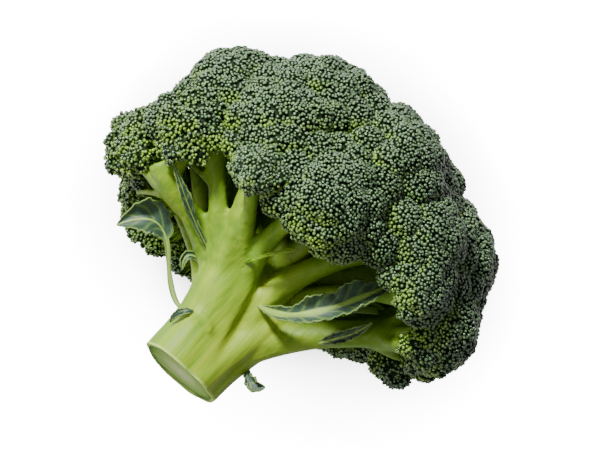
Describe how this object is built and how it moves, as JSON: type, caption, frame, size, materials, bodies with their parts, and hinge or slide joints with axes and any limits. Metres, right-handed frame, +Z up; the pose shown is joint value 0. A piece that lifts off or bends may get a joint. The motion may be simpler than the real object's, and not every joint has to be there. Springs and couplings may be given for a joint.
{
  "type": "broccoli head",
  "caption": "Fresh broccoli head lying on its side: a thick cut stem, spreading branches, a domed crown of tight green bud clusters, and small leaves left on the stem.",
  "frame": {"origin": "on the supporting surface, below the middle of the head's box", "axes": "+Z up from the surface, +Y the way the stem points towards the crown, seen from above, +X across the crown"},
  "size_m": [0.1676, 0.1448, 0.1409],
  "materials": {
    "stem_flesh": "smooth pale green plant skin with a soft waxy sheen",
    "buds": "tightly packed dark green buds with a grey waxy bloom",
    "leaf_green": "blue-green leaf with a pale midrib and a waxy bloom"
  },
  "bodies": {
    "root": {"branch_back_left": "stem_flesh", "branch_back_left_rim": "stem_flesh", "branch_back_left_shoulder": "stem_flesh", "branch_back_right": "stem_flesh", "branch_back_right_rim": "stem_flesh", "branch_back_rim": "stem_flesh", "branch_back_shoulder": "stem_flesh", "branch_crown_back": "stem_flesh", "branch_crown_top": "stem_flesh", "branch_front_left": "stem_flesh", "branch_front_middle": "stem_flesh", "branch_front_right": "stem_flesh", "branch_front_small": "stem_flesh", "branch_leaf": "leaf_green", "branch_left_lower": "stem_flesh", "branch_left_shoulder": "stem_flesh", "branch_left_side": "stem_flesh", "branch_left_upper": "stem_flesh", "branch_right_lower": "stem_flesh", "branch_right_shoulder": "stem_flesh", "branch_right_side": "stem_flesh", "branch_right_small": "stem_flesh", "branch_top_front": "stem_flesh", "branch_top_left": "stem_flesh", "branch_top_middle": "stem_flesh", "curled_leaf": "leaf_green", "floret_back_left": "buds", "floret_back_left_rim": "buds", "floret_back_left_shoulder": "buds", "floret_back_right": "buds", "floret_back_right_rim": "buds", "floret_back_rim": "buds", "floret_back_shoulder": "buds", "floret_crown_back": "buds", "floret_crown_top": "buds", "floret_front_left": "buds", "floret_front_middle": "buds", "floret_front_right": "buds", "floret_front_small": "buds", "floret_left_lower": "buds", "floret_left_shoulder": "buds", "floret_left_side": "buds", "floret_left_upper": "buds", "floret_right_lower": "buds", "floret_right_shoulder": "buds", "floret_right_side": "buds", "floret_right_small": "buds", "floret_top_front": "buds", "floret_top_left": "buds", "floret_top_middle": "buds", "folded_leaf": "leaf_green", "leaf_stub": "leaf_green", "left_leaf": "leaf_green", "main_stem": "stem_flesh", "right_leaf": "leaf_green", "thin_stalk": "stem_flesh", "torn_flap": "leaf_green"}
  },
  "joints": []
}
